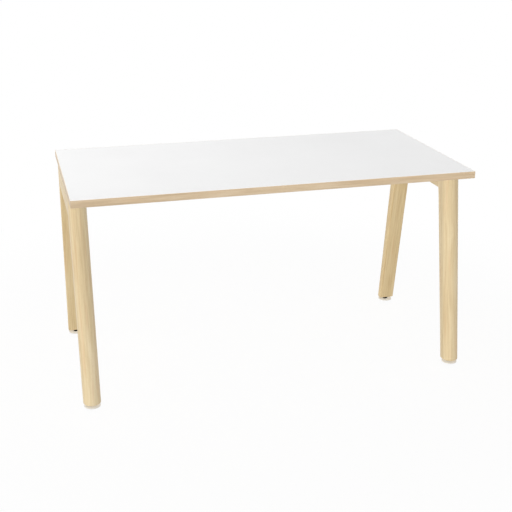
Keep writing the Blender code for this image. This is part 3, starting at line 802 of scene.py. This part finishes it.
def rail_mesh(node):
    """Rail with eased lower edges, slanting ends and the counterbored holes of its bolts."""
    low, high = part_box(node)
    centre_x = (low.x + high.x) / 2
    half = (high.x - low.x) / 2
    end_top = depth_span(node, high.z)[1] + HAIRLINE
    end_low = depth_span(node, low.z)[1] + HAIRLINE
    slope = (end_low - end_top) / (low.z - high.z)
    side = half - RAIL_ARRIS
    base = low.z + RAIL_ARRIS
    outline = arc((-side, base), RAIL_ARRIS, 180, 270, EASE_STEPS)
    outline += arc((side, base), RAIL_ARRIS, 270, 360, EASE_STEPS)
    outline += [(half, high.z), (-half, high.z)]
    rings = []
    for end in (-1, 1):
        rings.append([(centre_x + x, end * (end_top + (z - high.z) * slope), z) for x, z in outline])
    wide = COUNTERBORE_DIAMETER / 2
    seat = high.z - TOP_BOLT_GRIP
    profile = [(wide + COUNTERBORE_EASE, low.z - COUNTERBORE_EASE), (wide + COUNTERBORE_EASE, low.z),
               (wide, low.z + COUNTERBORE_EASE), (wide, seat), (TOP_BOLT_DIAMETER / 2, seat),
               (TOP_BOLT_DIAMETER / 2, high.z + TOP_BOLT_DIAMETER)]
    end_name = node.rsplit("_", 1)[1]
    holes = []
    for row, _ in ROWS:
        spot = middle_of(f"top_bolt_{row}_{end_name}")
        holes.append(moved(turned("hole", profile), (spot.x, spot.y, 0)))
    return shaped(loft(node, rings), removed=holes)


def drilled(node):
    """Test of whether a point lies on the wall of a hole up through a rail."""
    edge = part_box(node)[0].z + COUNTERBORE_EASE
    reach = COUNTERBORE_DIAMETER / 2
    end = node.rsplit("_", 1)[1]
    spots = [middle_of(f"top_bolt_{row}_{end}").xy for row, _ in ROWS]

    def test(point):
        return point.z > edge and any((point.xy - spot).length < reach for spot in spots)

    return test


def dress_end_frames():
    """Rails and legs, each with a pattern of its own."""
    # Walls of the rails' bolt holes: darker end grain, with painted shade inside the holes
    hole_shade_wood = wood("hole_shade_wood_look", ALONG_Z, HOLE_WALL_SHADE_PATTERN, HOLE_WALL_SHADE_TONES, HOLE_WALL_SHADE_PORE)
    for end, _ in ENDS:
        node = f"end_rail_{end}"
        finish = wood(f"rail_wood_{end}_look", ALONG_Y, RAIL_PATTERN[end], LEG_TONES, LEG_PORE, LEG_CONTRAST)
        place = Matrix.Translation(middle_of(node))
        dress(node, rail_mesh(node), finish, place, hole_shade_wood, drilled(node))
    for index, (corner, side_x, side_y) in enumerate(CORNERS):
        node = f"leg_{corner}"
        form = LegForm(node, side_y)
        end = "left" if side_x < 0 else "right"
        mesh = leg_mesh(form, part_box(f"end_rail_{end}")[0].z, middle_of(f"foot_pad_{corner}"))
        shift = tuple(step * index for step in LEG_PATTERN_STEP)
        # Rear legs take the warmer tones: painted warm shade
        tones = LEG_TONES if side_y < 0 else REAR_LEG_WARM_SHADE_TONES
        finish = wood(f"leg_wood_{corner}_look", ALONG_Z, shift, tones, LEG_PORE, LEG_CONTRAST, form.lean())
        dress(node, mesh, finish, form.foot())


# Levelling feet

def pad_mesh(node):
    """Round pad with a rounded rim, a ring groove and the room that its stud turns in."""
    low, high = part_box(node)
    rim = (high.x - low.x) / 2
    room = PAD_ROOM_DIAMETER / 2
    mouth = PAD_MOUTH_DIAMETER / 2
    lip = high.z - PAD_LIP_HEIGHT
    profile = [(HAIRLINE, PAD_FLOOR), (room, PAD_FLOOR), (room, lip), (mouth, lip), (mouth, high.z)]
    groove = PAD_RING_WIDTH / 4
    for step, depth in ((-2, 0), (-1, PAD_RING_DEPTH), (1, PAD_RING_DEPTH), (2, 0)):
        profile.append((PAD_RING_RADIUS + step * groove, high.z - depth))
    profile += arc((rim - PAD_ROUNDING, high.z - PAD_ROUNDING), PAD_ROUNDING, 90, 0, EASE_STEPS)
    profile += arc((rim - PAD_FOOT_EASE, PAD_FOOT_EASE), PAD_FOOT_EASE, 0, -90, EASE_STEPS)
    profile.append((HAIRLINE, low.z))
    return turned(node, profile)


def stud_mesh(node):
    """Bead, neck, hexagonal collar and right-hand thread in one skin."""
    low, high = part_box(node)
    pad_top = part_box(node.replace("stud", "pad"))[1].z
    collar_low = pad_top + (low.z - PAD_FLOOR)
    collar_high = collar_low + COLLAR_HEIGHT
    neck_low = collar_low - STUD_NECK_HEIGHT
    neck = STUD_NECK_DIAMETER / 2
    bead = (PAD_ROOM_DIAMETER + PAD_MOUTH_DIAMETER) / 4 + HAIRLINE
    steps = THREAD_STEPS
    blunt = COLLAR_WIDTH / 2 + HAIRLINE
    rings = [circle(bead - STUD_BEAD_EASE, low.z, steps), circle(bead, low.z + STUD_BEAD_EASE, steps),
             circle(bead, neck_low, steps), circle(neck, neck_low, steps), circle(neck, collar_low, steps)]
    for z, limit in ((collar_low, blunt), (collar_low + COLLAR_CHAMFER, None),
                     (collar_high - COLLAR_CHAMFER, None), (collar_high, blunt)):
        rings.append(hexagon(COLLAR_WIDTH, z, steps, limit))
    rings += thread_rings(collar_high, high.z, STUD_DIAMETER, STUD_PITCH, STUD_THREAD_DEPTH,
                          STUD_TIP_CHAMFER, steps)
    return loft(node, rings)


def insert_mesh(node):
    """Threaded insert of a leg, with a flat rim eased at its edges."""
    low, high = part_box(node)
    rim = (high.x - low.x) / 2
    body = FOOT_INSERT_DIAMETER / 2
    bore = STUD_DIAMETER / 2 + FIT_GAP
    shoulder = low.z + FOOT_INSERT_RIM_HEIGHT
    ease = FOOT_INSERT_EASE
    profile = [(bore, low.z + ease), (bore + ease, low.z), (rim - ease, low.z), (rim, low.z + ease),
               (rim, shoulder), (body, shoulder), (body, high.z), (bore, high.z)]
    return sleeve(node, profile)


def dress_feet():
    """Pads, studs and inserts, each about the upright axis of its foot."""
    pieces = (("foot_pad", pad_mesh), ("foot_stud", stud_mesh), ("foot_insert", insert_mesh))
    for corner, _, _ in CORNERS:
        spot = middle_of(f"foot_pad_{corner}")
        place = (spot.x, spot.y, 0)
        for name, make in pieces:
            node = f"{name}_{corner}"
            dress(node, moved(make(node), place), matrix=Matrix.Translation(place))


# Beams

def flange_mesh(middle, inside, outside, width, height):
    """Plate across the end of a beam, its inner edge eased."""
    outlines = []
    for inset in (0.0, FLANGE_EASE):
        radius = FLANGE_CORNER_RADIUS - inset
        outlines.append(rounded_rectangle(width - 2 * inset, height - 2 * inset, radius))
    eased = inside + math.copysign(FLANGE_EASE, outside)
    return bar("flange", middle, [(outside, outlines[0]), (eased, outlines[0]), (inside, outlines[1])])


def weld_path():
    """Evenly spaced (place, outward) pairs down one side of a tube, under it and up its other side."""
    corner = BEAM_CORNER_RADIUS
    side = BEAM_WIDTH / 2
    under = -BEAM_HEIGHT / 2
    lower = corner - BEAM_HEIGHT / 2
    upper = BEAM_HEIGHT / 2 - WELD_LEG
    runs = ((Vector((side, upper)), Vector((side, lower)), Vector((1, 0))),
            (Vector((side - corner, under)), Vector((corner - side, under)), Vector((0, -1))),
            (Vector((-side, lower)), Vector((-side, upper)), Vector((-1, 0))))
    path = []
    for index, (start, end, outward) in enumerate(runs):
        count = round((end - start).length / WELD_STEP)
        path += [(start.lerp(end, step / count), outward) for step in range(count + 1)]
        if index < len(runs) - 1:
            centre = end - outward * corner
            for step in range(1, EASE_STEPS):
                turn = Matrix.Rotation(-math.pi / 2 * step / EASE_STEPS, 2)
                path.append((centre + turn @ outward * corner, turn @ outward))
    return path


def weld_mesh(middle, inside, inward):
    """Rippled fillet weld between a tube and its flange, whose inner face lies at inside."""
    rings = []
    for index, (place, outward) in enumerate(weld_path()):
        ripple = 1 + WELD_RIPPLE * math.sin(2 * math.pi * index * WELD_STEP / WELD_RIPPLE_LENGTH)
        leg = WELD_LEG * ripple
        section = [(-WELD_ROOT, -WELD_ROOT), (leg, -WELD_ROOT)]
        section += [(out * leg, away * leg) for out, away in WELD_FACE]
        section.append((-WELD_ROOT, leg))
        ring = []
        for out, away in section:
            spot = place + outward * out
            ring.append((inside + inward * away, middle.y + spot.x, middle.z + spot.y))
        rings.append(ring)
    return loft("weld", rings)


def beam_mesh(node, row):
    """Tube with a welded bolting flange at each end, and the holes of its bolts and screws."""
    low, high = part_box(node)
    middle = (low + high) / 2
    tube_middle = Vector((0, middle.y, high.z - BEAM_HEIGHT / 2))
    outer = rounded_rectangle(BEAM_WIDTH, BEAM_HEIGHT, BEAM_CORNER_RADIUS)
    inner = rounded_rectangle(BEAM_WIDTH - 2 * BEAM_WALL, BEAM_HEIGHT - 2 * BEAM_WALL,
                              BEAM_CORNER_RADIUS - BEAM_WALL)
    end = high.x - FLANGE_THICKNESS
    sunk = high.x - FLANGE_THICKNESS / 2
    tube = bar(node, tube_middle, [(-sunk, outer), (sunk, outer)])
    bolt_room = BOLT_DIAMETER / 2 + FIT_GAP
    bolt_hole = [(bolt_room, end - FLANGE_THICKNESS), (bolt_room, high.x + FLANGE_THICKNESS)]
    access = SCREW_ACCESS_DIAMETER / 2
    shank = SCREW_DIAMETER / 2 + FIT_GAP
    screw_hole = [(access, low.z), (access, tube_middle.z),
                  (shank, tube_middle.z), (shank, high.z + BEAM_WALL)]
    added = []
    removed = [bar("inside", tube_middle, [(-end, inner), (end, inner)])]
    for end_name, side in ENDS:
        added.append(flange_mesh(middle, side * end, side * high.x, high.y - low.y, high.z - low.z))
        added.append(weld_mesh(tube_middle, side * end, -side))
        for spot_name in BOLT_SPOTS:
            spot = middle_of(f"beam_bolt_{row}_{end_name}_{spot_name}")
            turn = Matrix.Rotation(side * math.pi / 2, 3, "Y")
            removed.append(moved(turned("hole", bolt_hole), (0, spot.y, spot.z), turn))
        spot = middle_of(f"beam_screw_{row}_{end_name}")
        removed.append(moved(turned("hole", screw_hole), (spot.x, spot.y, 0)))
    return shaped(tube, added, removed)


def tube_inside(node):
    """Test of whether a point lies on the inner walls of a beam's tube."""
    low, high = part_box(node)
    middle = Vector((0, (low.y + high.y) / 2, high.z - BEAM_HEIGHT / 2))
    wall = BEAM_WALL - HAIRLINE
    reach = (high.x - FLANGE_THICKNESS - BEAM_WALL, BEAM_WIDTH / 2 - wall, BEAM_HEIGHT / 2 - wall)

    def test(point):
        return all(abs(away) < limit for away, limit in zip(point - middle, reach))

    return test


def dress_beams():
    """Beams, painted outside and bare inside, the bare steel darkened further by painted shade."""
    # Bare steel inside the tubes, with painted shade
    bare_steel_and_shade = metal("bare_steel_shade_look", BARE_STEEL_SHADE_TONES, metallic=0.0, roughness=0.7,
                       grain=700.0, relief=0.1, shine=0.2)
    for row, _ in ROWS:
        node = f"beam_{row}"
        dress(node, beam_mesh(node, row), lining=bare_steel_and_shade, lined=tube_inside(node))


# Bolts

def bolt_mesh(name, length, head_diameter):
    """Bolt along Z with its bearing face at Z = 0, its thread up and a hexagonal socket in its head."""
    steps = THREAD_STEPS
    head = head_diameter / 2
    end = -BOLT_HEAD_HEIGHT
    rings = [hexagon(BOLT_KEY_WIDTH, end + BOLT_KEY_DEPTH, steps), hexagon(BOLT_KEY_WIDTH, end, steps)]
    bend = (head - BOLT_HEAD_EASE, end + BOLT_HEAD_EASE)
    for radius, z in reversed(arc(bend, BOLT_HEAD_EASE, 0, -90, EASE_STEPS)):
        rings.append(circle(radius, z, steps))
    rings.append(circle(head, 0, steps))
    rings.append(circle(BOLT_DIAMETER / 2, 0, steps))
    rings += thread_rings(BOLT_PITCH, length, BOLT_DIAMETER, BOLT_PITCH, BOLT_THREAD_DEPTH,
                          BOLT_TIP_CHAMFER, steps)
    return loft(name, rings)


def dress_bolts():
    """Bolts of the rails, upright, and of the beams' flanges, pointing out to the ends."""
    for corner, side_x, _ in CORNERS:
        node = f"top_bolt_{corner}"
        low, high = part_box(node)
        spot = middle_of(node)
        mesh = bolt_mesh(node, high.z - low.z - BOLT_HEAD_HEIGHT, high.x - low.x)
        place = (spot.x, spot.y, low.z + BOLT_HEAD_HEIGHT)
        dress(node, moved(mesh, place), matrix=Matrix.Translation(place))
        for spot_name in BOLT_SPOTS:
            node = f"beam_bolt_{corner}_{spot_name}"
            low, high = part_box(node)
            spot = middle_of(node)
            mesh = bolt_mesh(node, high.x - low.x - BOLT_HEAD_HEIGHT, high.z - low.z)
            bearing = low.x + BOLT_HEAD_HEIGHT if side_x > 0 else high.x - BOLT_HEAD_HEIGHT
            place = (bearing, spot.y, spot.z)
            turn = Matrix.Rotation(side_x * math.pi / 2, 3, "Y")
            dress(node, moved(mesh, place, turn), matrix=Matrix.Translation(place))


def dress_rest():
    """Solids that keep their own shape take the finish of their slot."""
    for node, solid in frame["nodes"].items():
        if not solid.hide_render:
            solid.data.materials.clear()
            solid.data.materials.append(SLOT_FINISH[SLOT_OF[node]])


# Stage, light and camera

def seen_ray(tree):
    """1 for rays that show a surface, straight, mirrored or through glass, and 0 for bounced light."""
    path = tree.nodes.new("ShaderNodeLightPath")
    seen = path.outputs["Is Camera Ray"]
    for kind in ("Is Glossy Ray", "Is Transmission Ray"):
        either = tree.nodes.new("ShaderNodeMath")
        either.operation = "MAXIMUM"
        tree.links.new(seen, either.inputs[0])
        tree.links.new(path.outputs[kind], either.inputs[1])
        seen = either.outputs["Value"]
    return seen


def floor_material():
    """White to look at, with a share of the shadow near the table, and grey to the light it throws back."""
    material = bpy.data.materials.new("floor_white")
    material.use_nodes = True
    tree = material.node_tree
    tree.nodes.remove(tree.nodes["Principled BSDF"])
    bounce = tree.nodes.new("ShaderNodeBsdfDiffuse")
    bounce.inputs["Color"].default_value = FLOOR_BOUNCE
    shaded = tree.nodes.new("ShaderNodeBsdfDiffuse")
    shaded.inputs["Color"].default_value = WHITE
    glow = tree.nodes.new("ShaderNodeEmission")
    place = tree.nodes.new("ShaderNodeTexCoord")
    distance = tree.nodes.new("ShaderNodeVectorMath")
    distance.operation = "LENGTH"
    tree.links.new(place.outputs["Object"], distance.inputs[0])
    share = tree.nodes.new("ShaderNodeMapRange")
    share.interpolation_type = "SMOOTHSTEP"
    share.inputs["From Min"].default_value = FLOOR_SHADOW_NEAR
    share.inputs["From Max"].default_value = FLOOR_SHADOW_FAR
    share.inputs["To Min"].default_value = 1.0 - FLOOR_SHADOW_SHARE
    share.inputs["To Max"].default_value = 1.0
    tree.links.new(distance.outputs["Value"], share.inputs["Value"])
    seen = tree.nodes.new("ShaderNodeMixShader")
    tree.links.new(share.outputs["Result"], seen.inputs["Fac"])
    tree.links.new(shaded.outputs["BSDF"], seen.inputs[1])
    tree.links.new(glow.outputs["Emission"], seen.inputs[2])
    mix = tree.nodes.new("ShaderNodeMixShader")
    tree.links.new(seen_ray(tree), mix.inputs["Fac"])
    tree.links.new(bounce.outputs["BSDF"], mix.inputs[1])
    tree.links.new(seen.outputs["Shader"], mix.inputs[2])
    tree.links.new(mix.outputs["Shader"], tree.nodes["Material Output"].inputs["Surface"])
    return material


def white_floor():
    """Wide floor below the lowest place of the feet."""
    shape = bmesh.new()
    bmesh.ops.create_grid(shape, x_segments=1, y_segments=1, size=FLOOR_HALF)
    floor = bpy.data.objects.new("floor", mesh_of("floor", shape))
    bpy.context.scene.collection.objects.link(floor)
    floor.location.z = FLOOR_LEVEL
    floor.data.materials.append(floor_material())


def white_world():
    """Even sky light that looks white itself."""
    world = bpy.data.worlds.new("studio")
    bpy.context.scene.world = world
    world.use_nodes = True
    tree = world.node_tree
    background = tree.nodes["Background"]
    background.inputs["Color"].default_value = WHITE
    strength = tree.nodes.new("ShaderNodeMapRange")
    strength.inputs["To Min"].default_value = SKY_STRENGTH
    strength.inputs["To Max"].default_value = 1.0
    tree.links.new(seen_ray(tree), strength.inputs["Value"])
    tree.links.new(strength.outputs["Result"], background.inputs["Strength"])


def towards(azimuth, elevation):
    """Direction to a place seen at that azimuth, counted from the front to the right, and elevation."""
    level = math.cos(elevation)
    return Vector((math.sin(azimuth) * level, -math.cos(azimuth) * level, math.sin(elevation)))


def soft_lamp(name, kind, strength, place):
    """Lamp turned to the table. It casts no shadow and shows in no reflection: the sky gives both."""
    lamp = bpy.data.lights.new(name, kind)
    lamp.energy = strength
    lamp.use_shadow = False
    holder = bpy.data.objects.new(name, lamp)
    bpy.context.scene.collection.objects.link(holder)
    holder.visible_glossy = False
    holder.location = place
    holder.rotation_euler = (TABLE_MIDDLE - place).to_track_quat("-Z", "Y").to_euler()
    return lamp


def studio_lamps():
    """Wide lights from the front, the left and behind, and a weak lamp over the left end of the top."""
    suns = (("key_lamp", KEY_STRENGTH, towards(KEY_AZIMUTH, KEY_ELEVATION)),
            ("side_lamp", SIDE_STRENGTH, towards(SIDE_AZIMUTH, SIDE_ELEVATION)),
            ("fill_lamp", FILL_STRENGTH, towards(FILL_AZIMUTH, FILL_ELEVATION)))
    for name, strength, direction in suns:
        sun = soft_lamp(name, "SUN", strength, TABLE_MIDDLE + CAMERA_DISTANCE * direction)
        sun.angle = SUN_SPREAD
    overhead = soft_lamp("overhead_lamp", "AREA", OVERHEAD_POWER, Vector(OVERHEAD_PLACE))
    overhead.shape = "DISK"
    overhead.size = OVERHEAD_SIZE


def photo_camera():
    """Camera at the photograph's viewing angle, turned to the middle of the table's box."""
    camera = bpy.data.objects.new("camera", bpy.data.cameras.new("camera"))
    bpy.context.scene.collection.objects.link(camera)
    back = towards(-CAMERA_AZIMUTH, CAMERA_ELEVATION)
    camera.location = TABLE_MIDDLE + CAMERA_DISTANCE * back
    camera.rotation_euler = (-back).to_track_quat("-Z", "Y").to_euler()
    camera.data.angle = CAMERA_VIEW_ANGLE
    camera.data.shift_x = CAMERA_SHIFT_X
    bpy.context.scene.camera = camera


dress_top()
dress_end_frames()
dress_feet()
dress_beams()
dress_bolts()
dress_rest()
white_floor()
white_world()
studio_lamps()
photo_camera()
bpy.context.scene.view_settings.view_transform = "Standard"
